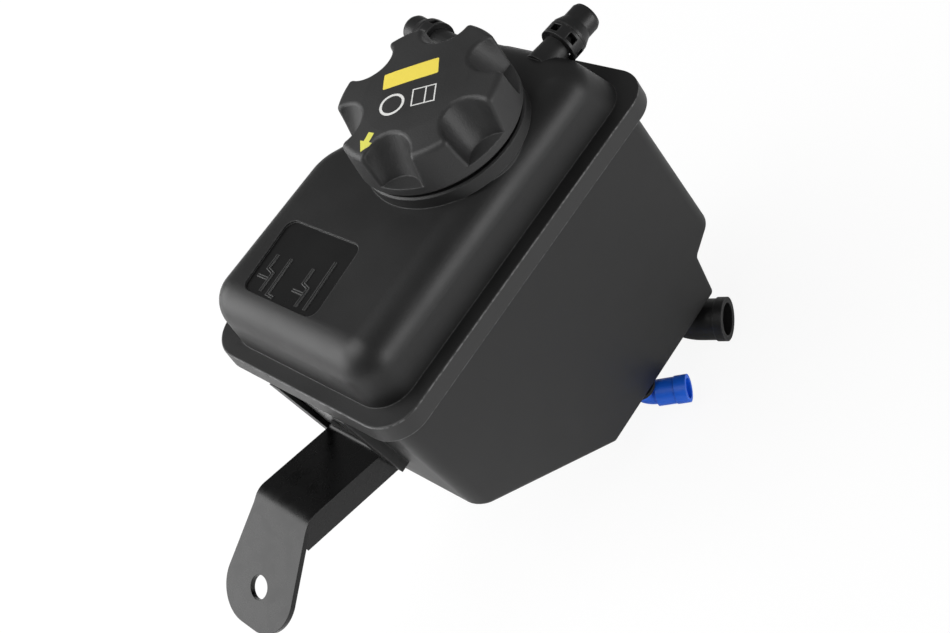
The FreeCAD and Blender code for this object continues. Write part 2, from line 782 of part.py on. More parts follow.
def bolt_hole(body):
    hole = new_feature(body, "SubtractiveCylinder", "BoltHole")
    bind(hole, "Radius", size("bolt_hole"))
    bind(hole, "Height", size("steel") * 4.0)
    tilt = Rotation(Vector(1, 0, 0), size("leg_angle").number)
    hole.Placement = Placement(tilt.multVec(Vector(0, 0, -2.0 * size("steel").number)), tilt)


# Cap

def cap_knob():
    low = size("knob_bottom")
    top = low + size("knob_height")
    rim = size("knob_radius")
    shoulder = size("knob_shoulder")
    land = size("knob_land")
    draft = size("knob_draft")
    room = size("knob_cavity")
    skin = size("knob_wall")
    hub = size("hub_radius")
    hub_in = hub - size("hub_wall")
    roof = top - skin - 1.5
    hub_low = roof - size("hub_length")
    floor = low + size("grip_floor")
    body = turned("cap_knob", [
        (room, low), (rim - 0.6, low), (rim, low + 1.0), (rim - draft, shoulder),
        (land, top - 0.8), (land * 0.6, top - 0.2), (zero, top),
        (zero, roof), (hub_in, roof), (hub_in, hub_low), (hub, hub_low), (hub, roof), (hub + 1.7, roof),
        (room, floor - 0.5),
    ])
    edge_height = shoulder.number
    round_edges(body, size("knob_round"), lambda e: abs(e.BoundBox.Center.z - edge_height) < 0.01)
    cut_grips(body, land, top, floor)
    turn = Rotation(Vector(0, 0, 1), size("grip_turn").number)
    place(body, neck_x, neck_y, flange, turn)
    return body


def cut_grips(body, land, top, floor):
    """Scooped finger grips round the knob, with soft rims."""
    tool = size("grip_radius")
    reach_low = size("grip_floor_reach") + tool
    slope = (size("grip_floor_reach") - land) / (top - 0.8 - floor)
    above = top + 2.0
    reach_high = reach_low - (above - floor) * slope
    floor_circle = circle(body, "XY_Plane", tool, reach_low, zero, floor)
    top_circle = circle(body, "XY_Plane", tool, reach_high, zero, above)
    grip = new_feature(body, "SubtractiveLoft", "Grip")
    grip.Profile = floor_circle
    grip.Sections = [top_circle]
    grip.Ruled = True
    spread(body, grip, size("grip_count"))
    doc.recompute()
    shape = body.Tip.Shape

    def on_rim(edge):
        middle = edge.CenterOfMass
        outside = math.hypot(middle.x, middle.y) > land.number / 2.0
        return outside and middle.z > floor.number + 0.5 and is_sharp(shape, edge)

    round_edges(body, size("grip_edge"), on_rim)


def cap_screw_plug():
    outer = size("plug_radius")
    low = size("plug_bottom")
    seat = size("neck_top") + size("plug_lift")
    flange_top = seat + size("plug_flange_height")
    spigot = size("plug_spigot")
    spigot_in = size("hub_radius") + size("plug_lift")
    ledge = size("plug_ledge")
    bore = size("housing_bore") + size("wall") + size("housing_gap") + 0.7
    return at_neck(turned("cap_screw_plug", [
        (bore, low), (outer, low), (outer, seat), (size("plug_flange"), seat),
        (size("plug_flange"), flange_top), (spigot, flange_top),
        (spigot, flange_top + size("plug_spigot_height")),
        (spigot_in, flange_top + size("plug_spigot_height")), (spigot_in, seat), (size("plug_pocket"), seat),
        (size("plug_pocket"), ledge), (bore, ledge),
    ]))


def housing_heights():
    low = -size("housing_bottom")
    shoulder = size("plug_bottom") - size("housing_gap")
    return low, shoulder, low + size("seat_plate")


def ring_groove(level):
    """Square groove for one O-ring, drawn upward."""
    foot = size("housing_foot")
    wire = size("ring_wire")
    deep = size("neck_bore") - size("ring_squeeze") - wire * 2.0 - 0.1
    wide = wire + 0.1
    return [(foot, level - wide), (deep, level - wide), (deep, level + wide), (foot, level + wide)]


def valve_housing():
    low, shoulder, floor = housing_heights()
    foot = size("housing_foot")
    bore = size("housing_bore")
    body_radius = bore + size("wall") + 0.7
    ledge = size("plug_ledge") + size("housing_gap")
    high = ledge + size("housing_bead_height")
    hole = size("seat_hole")
    seat = floor + size("seat_height")
    profile = [(hole, low), (foot, low)]
    profile += ring_groove(size("ring_lower"))
    profile += ring_groove(size("ring_upper"))
    profile += [
        (foot, shoulder), (body_radius, shoulder), (body_radius, ledge), (size("housing_bead"), ledge),
        (size("housing_bead"), high), (bore, high), (bore, floor), (hole + size("seat_land"), floor),
        (hole + size("seat_land"), seat), (hole, seat),
    ]
    return at_neck(turned("valve_housing", profile))


def neck_ring(label, level):
    wire = size("ring_wire")
    seal = ring(label, size("neck_bore") - size("ring_squeeze") - wire, wire)
    place(seal, neck_x, neck_y, flange + level)
    return seal


def valve_levels():
    floor = housing_heights()[2]
    seal_low = floor + size("seat_height") + size("seal_gap")
    plate_low = seal_low + size("seal_thickness")
    plate_high = plate_low + size("plate_thickness")
    return seal_low, plate_low, plate_high


def pressure_valve_plate():
    low, high = valve_levels()[1:]
    outer = size("plate_radius")
    guide = size("plate_guide")
    guide_in = guide - size("plate_guide_wall")
    guide_top = high + size("plate_guide_height")
    hole = size("stem_radius") + size("stem_gap")
    return at_neck(turned("pressure_valve_plate", [
        (hole, low), (outer, low), (outer, high), (guide, high), (guide, guide_top), (guide_in, guide_top),
        (guide_in, high), (hole, high),
    ]))


def pressure_valve_seal():
    low, high = valve_levels()[:2]
    return at_neck(turned("pressure_valve_seal", [
        (size("seal_inner"), low), (size("seal_outer"), low),
        (size("seal_outer"), high), (size("seal_inner"), high),
    ]))


def vacuum_valve():
    plate_low = valve_levels()[1]
    high = plate_low - size("seal_gap")
    low = high - size("vacuum_disc_height")
    stem = size("stem_radius")
    top = size("stem_top")
    head_low = top - size("stem_head_height")
    return at_neck(turned("vacuum_valve", [
        (zero, low), (size("vacuum_disc"), low), (size("vacuum_disc"), high), (stem, high), (stem, head_low),
        (size("stem_head"), head_low), (size("stem_head"), top), (zero, top),
    ]))


def spring_retainer():
    outer = size("housing_bore") - size("retainer_gap")
    low = size("spring_top")
    high = low + size("retainer_thickness")
    return at_neck(turned("spring_retainer", [
        (size("retainer_hole"), low), (outer, low), (outer, high), (size("retainer_hole"), high),
    ]))


def pressure_spring():
    low = valve_levels()[2] + size("seal_gap")
    high = size("spring_top") - size("seal_gap")
    spring = coil("pressure_spring", size("spring_radius"), size("spring_wire"), size("spring_turns"),
                  low, high)
    return at_neck(spring)


def vacuum_spring():
    low = valve_levels()[2] + size("seal_gap")
    high = size("stem_top") - size("stem_head_height") - size("seal_gap")
    spring = coil("vacuum_spring", size("vacuum_spring_radius"), size("vacuum_wire"),
                  size("vacuum_turns"), low, high)
    return at_neck(spring)


# Hose connector

def hose_connector():
    pipe = elbow("connector_outside", "connector", size("connector_radius"), size("connector_rise"))
    start = size("connector_reach") - size("connector_bead_length") - size("sleeve_length")
    sleeve = circle(pipe, "YZ_Plane", size("sleeve_radius"), zero, -size("connector_drop"), start)
    pad(pipe, sleeve, size("sleeve_length"))
    bead(pipe, "connector")
    passage = elbow("connector_passage", "connector", size("connector_bore"), size("connector_rise") + 1.0)
    mouth = rod("connector_mouth", size("sleeve_bore"), size("sleeve_bore_length") + 1.0)
    turn = size("connector_turn")
    reach = size("connector_reach") - size("sleeve_bore_length")
    across = port_across("connector") + reach * cosine(turn)
    along = front + size("connector_along") + reach * sine(turn)
    way = Rotation(Vector(0, 0, 1), turn.number) * Rotation(Vector(0, 1, 0), 90)
    place(mouth, across, along, bottom - size("connector_drop"), way)
    return cut("hose_connector", pipe, fused("connector_holes", [passage, mouth]))


def connector_seal():
    gap = size("grommet_gap")
    inner = size("connector_radius") + gap
    outer = size("grommet_radius")
    body = turned("connector_seal", [
        (inner, -gap - size("grommet_height")), (outer - 0.6, -gap - size("grommet_height")),
        (outer, -gap - size("grommet_height") + 0.6), (outer, -gap), (inner, -gap),
    ])
    place(body, port_across("connector"), front + size("connector_along"), bottom)
    return body


# Level float

def on_floor(body):
    place(body, neck_x, neck_y, bottom + wall)
    return body


def float_cage():
    outer = size("cage_radius")
    inner = outer - size("cage_wall")
    high = size("cage_height")
    roof = high - size("cage_roof")
    hole = size("rod_radius") + size("rod_gap")
    body = turned("float_cage", [
        (inner, zero), (outer, zero), (outer, high), (hole, high), (hole, roof), (inner, roof),
    ])
    half = size("cage_slot") / 2.0
    low = size("cage_slot_foot")
    top = high - size("cage_slot_top")
    window = [(-half, low), (half, low), (half, top), (-half, top)]
    slot = cut_through(body, polygon(body, "XZ_Plane", window))
    spread(body, slot, as_size(3), 120.0)
    return on_floor(body)


def level_float():
    outer = size("float_radius")
    low = size("float_rest")
    high = low + size("float_height")
    chamfer = size("float_chamfer")
    hole = size("rod_radius") + 0.05
    socket = high - size("rod_socket")
    return on_floor(turned("level_float", [
        (zero, low), (outer - chamfer, low), (outer, low + chamfer), (outer, high - 1.0),
        (outer - 1.0, high), (hole, high), (hole, socket), (zero, socket),
    ]))


def float_rod():
    radius = size("rod_radius")
    low = size("float_rest") + size("float_height") - size("rod_socket")
    high = size("float_rest") + size("float_height") + size("rod_length")
    return on_floor(turned("float_rod", [
        (zero, low), (radius, low), (radius, high - 1.0), (radius - 0.8, high), (zero, high),
    ]))


parts = [
    upper_shell(), lower_shell(), mounting_bracket(), cap_knob(), cap_screw_plug(), valve_housing(),
    neck_ring("upper_o_ring", size("ring_upper")), neck_ring("lower_o_ring", size("ring_lower")),
    pressure_valve_plate(), pressure_valve_seal(), pressure_spring(), spring_retainer(),
    vacuum_valve(), vacuum_spring(), hose_connector(), connector_seal(),
    float_cage(), level_float(), float_rod(),
]
for spot in nipple_places():
    parts += [blind_cap(spot), clip_ring(spot), blind_seal(spot)]

doc.recompute()
for thing in doc.Objects:
    if "Invalid" in thing.State or "Error" in thing.State:
        raise RuntimeError("feature failed: %s %s" % (thing.Label, thing.State))
os.makedirs("parts", exist_ok=True)
for part in parts:
    shape = part.Shape
    if shape.isNull() or not shape.isValid() or len(shape.Solids) != 1:
        raise RuntimeError("bad solid: %s %d" % (part.Label, len(shape.Solids)))
    shape.exportStep("parts/%s.step" % part.Label)
    print("%-22s volume %10.1f mm3" % (part.Label, shape.Volume))
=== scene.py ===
# %% [markdown]
# # Coolant expansion tank
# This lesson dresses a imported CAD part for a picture. The real tank is two black mouldings with a
# screw cap, hose stubs and a steel bracket. The CAD gives every shape and place, so the cells below
# only add materials, print, a few raised lines, light, a floor and a camera, one step at a time.

# %% Load the frame
import json
import math
import bpy
from mathutils import Matrix, Vector

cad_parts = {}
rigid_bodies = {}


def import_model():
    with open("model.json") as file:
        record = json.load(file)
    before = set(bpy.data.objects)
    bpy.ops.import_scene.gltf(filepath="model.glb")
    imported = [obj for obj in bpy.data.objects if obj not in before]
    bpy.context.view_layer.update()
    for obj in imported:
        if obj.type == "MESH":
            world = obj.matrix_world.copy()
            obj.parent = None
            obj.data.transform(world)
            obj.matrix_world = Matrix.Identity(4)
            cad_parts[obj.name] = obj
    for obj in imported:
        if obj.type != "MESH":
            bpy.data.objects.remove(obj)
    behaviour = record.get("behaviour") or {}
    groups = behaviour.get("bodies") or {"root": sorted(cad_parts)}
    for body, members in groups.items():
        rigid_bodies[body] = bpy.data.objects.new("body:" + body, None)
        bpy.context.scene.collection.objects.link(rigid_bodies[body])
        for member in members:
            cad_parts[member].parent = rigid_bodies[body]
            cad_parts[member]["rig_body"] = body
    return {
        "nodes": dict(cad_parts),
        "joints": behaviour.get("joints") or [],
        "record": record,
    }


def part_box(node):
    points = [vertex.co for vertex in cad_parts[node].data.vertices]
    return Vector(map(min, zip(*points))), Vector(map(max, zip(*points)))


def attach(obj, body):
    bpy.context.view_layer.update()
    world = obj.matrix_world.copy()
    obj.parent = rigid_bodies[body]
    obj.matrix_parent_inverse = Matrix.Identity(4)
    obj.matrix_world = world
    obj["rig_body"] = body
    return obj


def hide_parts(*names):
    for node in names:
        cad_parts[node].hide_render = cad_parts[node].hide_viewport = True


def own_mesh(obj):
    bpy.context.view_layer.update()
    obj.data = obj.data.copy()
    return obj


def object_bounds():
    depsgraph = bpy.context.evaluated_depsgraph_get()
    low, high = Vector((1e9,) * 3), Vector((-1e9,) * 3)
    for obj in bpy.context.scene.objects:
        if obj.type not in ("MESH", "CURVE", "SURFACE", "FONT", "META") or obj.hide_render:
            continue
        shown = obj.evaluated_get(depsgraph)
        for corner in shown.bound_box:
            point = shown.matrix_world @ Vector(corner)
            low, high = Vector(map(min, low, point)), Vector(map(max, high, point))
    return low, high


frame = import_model()
nodes = frame["nodes"]
size_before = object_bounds()
scene = bpy.context.scene
scene.view_settings.view_transform = "Standard"
print("nodes:", len(nodes), "size:", [round(v, 4) for v in size_before[1] - size_before[0]])

# %% [markdown]
# ## Smooth faces
# A moulding has round corners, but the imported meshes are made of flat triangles. A finer mesh would
# hide them and cost time. Here the faces that meet at a small angle are marked smooth and the real
# edges are marked sharp. No vertex changes that way, so the frame stays as packed.

# %% Smooth faces
SHARP_ANGLE = math.radians(32)


def smooth(obj):
    for poly in obj.data.polygons:
        poly.use_smooth = True
    for edge in obj.data.edges:
        edge.use_edge_sharp = False
    obj.data.set_sharp_from_angle(angle=SHARP_ANGLE)


for obj in nodes.values():
    smooth(obj)
print("smoothed", len(nodes), "meshes")

# %% [markdown]
# ## Small tools for shader nodes
# A finish is a tree of shader nodes. It could be put together by hand in the editor, but a script can
# be run again and read later. Each tool below makes one node and says what feeds it: a value that
# is a number is set on the socket, and a value that is a socket is linked.

# %% Node tools


def feed(tree, socket, value):
    if isinstance(value, bpy.types.NodeSocket):
        tree.links.new(value, socket)
    elif value is not None:
        socket.default_value = value


def node(tree, kind, inputs=None, **settings):
    made = tree.nodes.new(kind)
    for key, value in settings.items():
        setattr(made, key, value)
    for key, value in (inputs or {}).items():
        feed(tree, made.inputs[key], value)
    return made


def group(name, inputs, outputs):
    tree = bpy.data.node_groups.new(name, "ShaderNodeTree")
    for label, kind, value in inputs:
        socket = tree.interface.new_socket(label, in_out="INPUT", socket_type="NodeSocket" + kind)
        socket.default_value = value
    for label, kind in outputs:
        tree.interface.new_socket(label, in_out="OUTPUT", socket_type="NodeSocket" + kind)
    start = tree.nodes.new("NodeGroupInput")
    end = tree.nodes.new("NodeGroupOutput")
    return tree, start.outputs, end.inputs


def use(tree, name, inputs):
    made = tree.nodes.new("ShaderNodeGroup")
    made.node_tree = bpy.data.node_groups[name]
    for key, value in inputs.items():
        feed(tree, made.inputs[key], value)
    return made.outputs


print("node tools ready")

# %% [markdown]
# The next tools are for sums, noise and colours. The vector node gives a number for a length, a
# distance or a product, and a vector for the rest. The Mix node has a set of sockets for each kind
# of data, so the colour ones are picked by their place in the list.

# %% Sums, noise and colours
GIVES_NUMBER = ("LENGTH", "DISTANCE", "DOT_PRODUCT")
MIX_SHARE, MIX_UNDER, MIX_OVER, MIX_RESULT = 0, 6, 7, 2


def maths(tree, operation, first, second=None, third=None):
    made = node(tree, "ShaderNodeMath", operation=operation)
    for socket, value in zip(made.inputs, (first, second, third)):
        feed(tree, socket, value)
    return made.outputs[0]


def vectors(tree, operation, first, second=None):
    made = node(tree, "ShaderNodeVectorMath", {0: first, 1: second}, operation=operation)
    return made.outputs["Value" if operation in GIVES_NUMBER else "Vector"]


def scaled(tree, colour, factor):
    made = node(tree, "ShaderNodeVectorMath", {0: colour, "Scale": factor}, operation="SCALE")
    return made.outputs["Vector"]


def span(tree, value, low, high, least=0.0, most=1.0):
    """The stretch from low to high, moved to least and most and stopped at both ends."""
    made = node(tree, "ShaderNodeMapRange", {"Value": value, "From Min": low, "From Max": high,
                                             "To Min": least, "To Max": most})
    return made.outputs[0]


def noise(tree, place, scale, detail):
    made = node(tree, "ShaderNodeTexNoise", {"Vector": place, "Scale": scale, "Detail": detail})
    return made.outputs["Fac"]


def blend(tree, share, under, over):
    """The colour under, covered by the colour over where share is one."""
    inputs = {MIX_SHARE: share, MIX_UNDER: under, MIX_OVER: over}
    return node(tree, "ShaderNodeMix", inputs, data_type="RGBA").outputs[MIX_RESULT]


def place_on(tree):
    return node(tree, "ShaderNodeTexCoord").outputs["Object"]


def facing_of(tree):
    return node(tree, "ShaderNodeNewGeometry").outputs["Normal"]


def parts_of(tree, vector):
    return node(tree, "ShaderNodeSeparateXYZ", {0: vector}).outputs


print("sums, noise and colours ready")

# %% [markdown]
# ## A shared look for moulded plastic
# Moulded plastic isn't one flat colour. It has a fine grain from the steel mould, cloudy patches
# where it flowed, and a little pale dust on faces that look up. Its edges are rubbed pale.
# Each material could have its own copy of these nodes. One node group is used instead, so that all
# the mouldings share the effects and differ only in the values that go in. A bevel node rounds the
# light on sharp edges, and a wider one finds the edges: there it turns away from the true face.

# %% Moulded look
NOISE_MIDDLE = (0.3, 0.7)
CLOUD_SCALE = 38.0
CLOUD_TONE = (0.86, 1.14)
CLOUD_ROUGH = (-0.04, 0.04)
SPECK_SCALE = 900.0
DUST_COLOUR = (0.55, 0.55, 0.54, 1)
# Pale colour of worn edges. The skirt's painted highlight lines and painted reflected light use it too.
WEAR_AND_HIGHLIGHT_COLOUR = (0.50, 0.50, 0.50, 1)
RUBBED_SPECKS = (0.4, 0.6)
RUBBED_SHARE = (0.3, 1.0)
EDGE_TURN = (0.99, 0.90)
BEVEL_SAMPLES = 6
WIDE_BEVEL = 2.5
GRAIN_STRENGTH = 0.6


def rounded(tree, radius):
    return node(tree, "ShaderNodeBevel", {"Radius": radius}, samples=BEVEL_SAMPLES).outputs[0]


def make_moulded():
    tree, given, result = group("moulded look", [
        ("Colour", "Color", (0.02, 0.02, 0.02, 1)), ("Dust", "Float", 0.02), ("Rough", "Float", 0.42),
        ("Grain size", "Float", 2200.0), ("Grain height", "Float", 0.00007), ("Edge", "Float", 0.0005),
        ("Rubbed", "Float", 0.06),
    ], [("Colour", "Color"), ("Roughness", "Float"), ("Normal", "Vector")])
    place = place_on(tree)
    facing = facing_of(tree)
    cloud = noise(tree, place, CLOUD_SCALE, detail=4.0)
    speck = noise(tree, place, SPECK_SCALE, detail=3.0)
    cloudy = scaled(tree, given["Colour"], span(tree, cloud, *NOISE_MIDDLE, *CLOUD_TONE))
    upward = maths(tree, "MAXIMUM", parts_of(tree, facing)["Z"], 0.0)
    settled = maths(tree, "MULTIPLY", upward, speck)
    dusty = blend(tree, maths(tree, "MULTIPLY", settled, given["Dust"]), cloudy, DUST_COLOUR)
    wide = rounded(tree, maths(tree, "MULTIPLY", given["Edge"], WIDE_BEVEL))
    edge = span(tree, vectors(tree, "DOT_PRODUCT", wide, facing), *EDGE_TURN)
    worn = maths(tree, "MULTIPLY", edge, span(tree, speck, *RUBBED_SPECKS, *RUBBED_SHARE))
    rubbed = blend(tree, maths(tree, "MULTIPLY", worn, given["Rubbed"]), dusty, WEAR_AND_HIGHLIGHT_COLOUR)
    feed(tree, result["Colour"], rubbed)
    rough = span(tree, cloud, *NOISE_MIDDLE, *CLOUD_ROUGH)
    feed(tree, result["Roughness"], maths(tree, "ADD", given["Rough"], rough))
    bump = node(tree, "ShaderNodeBump", {
        "Height": noise(tree, place, given["Grain size"], detail=2.0), "Distance": given["Grain height"],
        "Strength": GRAIN_STRENGTH, "Normal": rounded(tree, given["Edge"]),
    })
    feed(tree, result["Normal"], bump.outputs[0])


make_moulded()
print("made the group", "moulded look")

# %% [markdown]
# ## Plastic and rubber
# The tank, the cap, the hose stubs and the seals are moulded. They could be plain colours, but then
# the light would slide over them as over a drawing. Each slot of the record gets one material with
# the shared look. The shader itself stays in the material, because the export can't read it in a group.

# %% Plastic and rubber


def principled(name):
    mat = bpy.data.materials.new(name)
    mat.use_nodes = True
    return mat, mat.node_tree, mat.node_tree.nodes["Principled BSDF"]


def plastic(name, colour, rough, dust=0.02, specular=0.5, **extra):
    mat, tree, shader = principled(name)
    look = use(tree, "moulded look", {"Colour": (*colour, 1), "Rough": rough, "Dust": dust, **extra})
    feed(tree, shader.inputs["Base Color"], look["Colour"])
    feed(tree, shader.inputs["Roughness"], look["Roughness"])
    feed(tree, shader.inputs["Normal"], look["Normal"])
    shader.inputs["Specular IOR Level"].default_value = specular
    return mat


SHELL = {"colour": (0.0075, 0.0075, 0.0076), "rough": 0.46, "dust": 0.004}
COARSE = {"Grain size": 1500.0, "Grain height": 0.00014}
CAP = {"colour": (0.022, 0.022, 0.0222), "rough": 0.48, "dust": 0.01, **COARSE}
materials = {
    "shell_plastic": plastic("shell plastic", **SHELL, Rubbed=0.10),
    "cap_plastic": plastic("cap plastic", **CAP),
    "nipple_plastic": plastic("nipple plastic", (0.007, 0.007, 0.0072), rough=0.40, dust=0.004),
    "connector_plastic": plastic("blue plastic", (0.006, 0.14, 0.85), rough=0.36, dust=0.002),
    "seal_rubber": plastic("seal rubber", (0.012, 0.012, 0.012), rough=0.62, dust=0.01, specular=0.3),
    "valve_plastic": plastic("grey plastic", (0.30, 0.30, 0.29), rough=0.45),
    "float_plastic": plastic("natural plastic", (0.72, 0.68, 0.55), rough=0.45),
}
print("plastic and rubber:", sorted(materials))

# %% [markdown]
# ## Coated and bare metal
# The bracket is dipped in black paint: a smooth coat with slow waves and a few fine scratches. The
# springs are drawn wire and the vacuum valve is turned brass. All three have marks from how they were
# made, so one group gives a stretched noise for the marks and a slow one for the waves. The bracket
# sets its own stretch, and the wire and the brass keep the group's.

# %% Metals
WAVE_SCALE = 260.0
WAVE_STRENGTH = 0.5
MARK_TONE = (0.88, 1.12)
MARK_ROUGH = (-0.05, 0.05)
DIPPED = {"Stretch": (150.0, 150.0, 150.0), "Wave": 0.00002}


def make_worked():
    tree, given, result = group("worked metal", [
        ("Stretch", "Vector", (60.0, 900.0, 900.0)), ("Rough", "Float", 0.35),
        ("Wave", "Float", 0.00005), ("Edge", "Float", 0.0005),
    ], [("Tone", "Float"), ("Roughness", "Float"), ("Normal", "Vector")])
    place = place_on(tree)
    drawn = vectors(tree, "MULTIPLY", place, given["Stretch"])
    lines = noise(tree, drawn, scale=1.0, detail=3.0)
    feed(tree, result["Tone"], span(tree, lines, *NOISE_MIDDLE, *MARK_TONE))
    spread = span(tree, lines, *NOISE_MIDDLE, *MARK_ROUGH)
    feed(tree, result["Roughness"], maths(tree, "ADD", given["Rough"], spread))
    bump = node(tree, "ShaderNodeBump", {
        "Height": noise(tree, place, WAVE_SCALE, detail=2.0), "Distance": given["Wave"],
        "Strength": WAVE_STRENGTH, "Normal": rounded(tree, given["Edge"]),
    })
    feed(tree, result["Normal"], bump.outputs[0])


def metal(name, colour, rough, metallic, specular=0.5, **extra):
    mat, tree, shader = principled(name)
    look = use(tree, "worked metal", {"Rough": rough, **extra})
    feed(tree, shader.inputs["Base Color"], scaled(tree, colour, look["Tone"]))
    feed(tree, shader.inputs["Roughness"], look["Roughness"])
    feed(tree, shader.inputs["Normal"], look["Normal"])
    shader.inputs["Metallic"].default_value = metallic
    shader.inputs["Specular IOR Level"].default_value = specular
    return mat


make_worked()
metals = {
    "bracket_steel": metal("black dipped steel", (0.0010, 0.0010, 0.0011), rough=0.28, metallic=0.0,
                           specular=0.38, **DIPPED),
    "spring_steel": metal("spring wire", (0.55, 0.55, 0.56), rough=0.28, metallic=1.0),
    "valve_brass": metal("turned brass", (0.62, 0.44, 0.18), rough=0.30, metallic=1.0),
}
materials.update(metals)
print("metals:", sorted(metals))

# %% [markdown]
# ## Print on the cap
# The cap carries plain printed shapes: a yellow field, a white ring, a white square with a line
# through it and a yellow arrow. They could be thin pieces laid on top, but ink has no height. Each is
# a mask worked out from the place on the cap, so it stays sharp and needs no picture. The masks are
# a box with round corners, a ring and a wedge, and each measures how far a place lies inside.

# %% Print masks
INK_EDGE = 0.00006
ON_TOP = (1, 1, 0)


def inked(tree, room):
    return span(tree, room, -INK_EDGE, INK_EDGE)


def turned_about(tree, place, middle, turn):
    moved = vectors(tree, "SUBTRACT", place, middle)
    return node(tree, "ShaderNodeVectorRotate", {"Vector": moved, "Angle": turn},
                rotation_type="Z_AXIS", invert=True).outputs[0]


def make_print_box():
    tree, given, result = group("print box", [
        ("Place", "Vector", (0, 0, 0)), ("Middle", "Vector", (0, 0, 0)), ("Turn", "Float", 0.0),
        ("Half", "Vector", (0.01, 0.01, 0)), ("Round", "Float", 0.0),
    ], [("Inside", "Float")])
    turned = turned_about(tree, given["Place"], given["Middle"], given["Turn"])
    core = vectors(tree, "SUBTRACT", given["Half"], given["Round"])
    over = vectors(tree, "SUBTRACT", vectors(tree, "ABSOLUTE", turned), core)
    past = vectors(tree, "MAXIMUM", over, (0, 0, 0))
    out = vectors(tree, "LENGTH", vectors(tree, "MULTIPLY", past, ON_TOP))
    parts = parts_of(tree, over)
    deep = maths(tree, "MINIMUM", maths(tree, "MAXIMUM", parts["X"], parts["Y"]), 0.0)
    room = maths(tree, "SUBTRACT", given["Round"], maths(tree, "ADD", out, deep))
    feed(tree, result["Inside"], inked(tree, room))


def make_print_ring():
    tree, given, result = group("print ring", [
        ("Place", "Vector", (0, 0, 0)), ("Middle", "Vector", (0, 0, 0)), ("Radius", "Float", 0.005),
        ("Width", "Float", 0.0006),
    ], [("Inside", "Float")])
    flat = vectors(tree, "MULTIPLY", given["Place"], ON_TOP)
    away = vectors(tree, "DISTANCE", flat, given["Middle"])
    off = maths(tree, "ABSOLUTE", maths(tree, "SUBTRACT", away, given["Radius"]))
    feed(tree, result["Inside"], inked(tree, maths(tree, "SUBTRACT", given["Width"], off)))


def make_print_wedge():
    tree, given, result = group("print wedge", [
        ("Place", "Vector", (0, 0, 0)), ("Base", "Vector", (0, 0, 0)), ("Turn", "Float", 0.0),
        ("Length", "Float", 0.005), ("Half", "Float", 0.005),
    ], [("Inside", "Float")])
    parts = parts_of(tree, turned_about(tree, given["Place"], given["Base"], given["Turn"]))
    left = maths(tree, "SUBTRACT", 1.0, maths(tree, "DIVIDE", parts["X"], given["Length"]))
    reach = maths(tree, "MULTIPLY", left, given["Half"])
    room = maths(tree, "SUBTRACT", reach, maths(tree, "ABSOLUTE", parts["Y"]))
    feed(tree, result["Inside"], inked(tree, maths(tree, "MINIMUM", room, parts["X"])))


make_print_box()
make_print_ring()
make_print_wedge()
print("print masks:", "box", "ring", "wedge")

# %% [markdown]
# The printed shapes stand where they do on the real cap, in millimetres from the middle of the neck.
# That middle is read from the seal ring in the frame, so the print follows the cap.

# %% Printed shapes
ring_low, ring_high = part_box("upper_o_ring")
NECK = (ring_low + ring_high) / 2
MM = 0.001


def on_cap(across, along):
    return (NECK.x + across * MM, NECK.y + along * MM, 0.0)


def yellow_field(tree, place):
    return use(tree, "print box", {
        "Place": place, "Turn": math.radians(36), "Middle": on_cap(-5.8, 5.2),
        "Half": (0.0127, 0.0046, 0), "Round": 0.0008,
    })["Inside"]


def white_ring(tree, place):
    shape = {"Place": place, "Middle": on_cap(-3.2, -11.5), "Radius": 0.0052}
    return use(tree, "print ring", shape)["Inside"]


def white_square(tree, place):
    turned = {"Place": place, "Turn": math.radians(32)}
    middle = {**turned, "Middle": on_cap(8.6, -3.2)}
    outer = use(tree, "print box", {**middle, "Half": (0.0054, 0.0048, 0)})["Inside"]
    inner = use(tree, "print box", {**middle, "Half": (0.0048, 0.0042, 0)})["Inside"]
    across = {**turned, "Middle": on_cap(9.3, -2.8), "Half": (0.0003, 0.0045, 0)}
    line = use(tree, "print box", across)["Inside"]
    return maths(tree, "MAXIMUM", maths(tree, "SUBTRACT", outer, inner), line)


def yellow_arrow(tree, place):
    turned = {"Place": place, "Turn": math.radians(-86)}
    point = {**turned, "Base": on_cap(-3.0, -30.6), "Length": 0.005, "Half": 0.0036}
    shaft = {**turned, "Middle": on_cap(-3.2, -28.6), "Half": (0.0024, 0.0015, 0)}
    head = use(tree, "print wedge", point)["Inside"]
    return maths(tree, "MAXIMUM", head, use(tree, "print box", shaft)["Inside"])


print("middle of the neck:", [round(v, 4) for v in NECK])

# %% [markdown]
# The ink covers the plastic where a mask is one. Ink only reaches the faces that look up, so each mask
# is also multiplied by whether the face does.

# %% Printed cap
YELLOW_INK = (0.96, 0.78, 0.105, 1)
WHITE_INK = (0.80, 0.80, 0.78, 1)
ARROW_INK = (0.74, 0.72, 0.12, 1)
LOOKS_UP = 0.8


def printed_cap():
    mat = plastic("printed cap", **CAP)
    tree = mat.node_tree
    base = tree.nodes["Principled BSDF"].inputs["Base Color"]
    place = place_on(tree)
    upward = maths(tree, "GREATER_THAN", parts_of(tree, facing_of(tree))["Z"], LOOKS_UP)
    inks = [
        (yellow_field(tree, place), YELLOW_INK),
        (maths(tree, "MAXIMUM", white_ring(tree, place), white_square(tree, place)), WHITE_INK),
        (yellow_arrow(tree, place), ARROW_INK),
    ]
    colour = base.links[0].from_socket
    for mask, ink in inks:
        colour = blend(tree, maths(tree, "MULTIPLY", mask, upward), colour, ink)
    feed(tree, base, colour)
    return mat


cap_print = printed_cap()
print("printed cap ready")
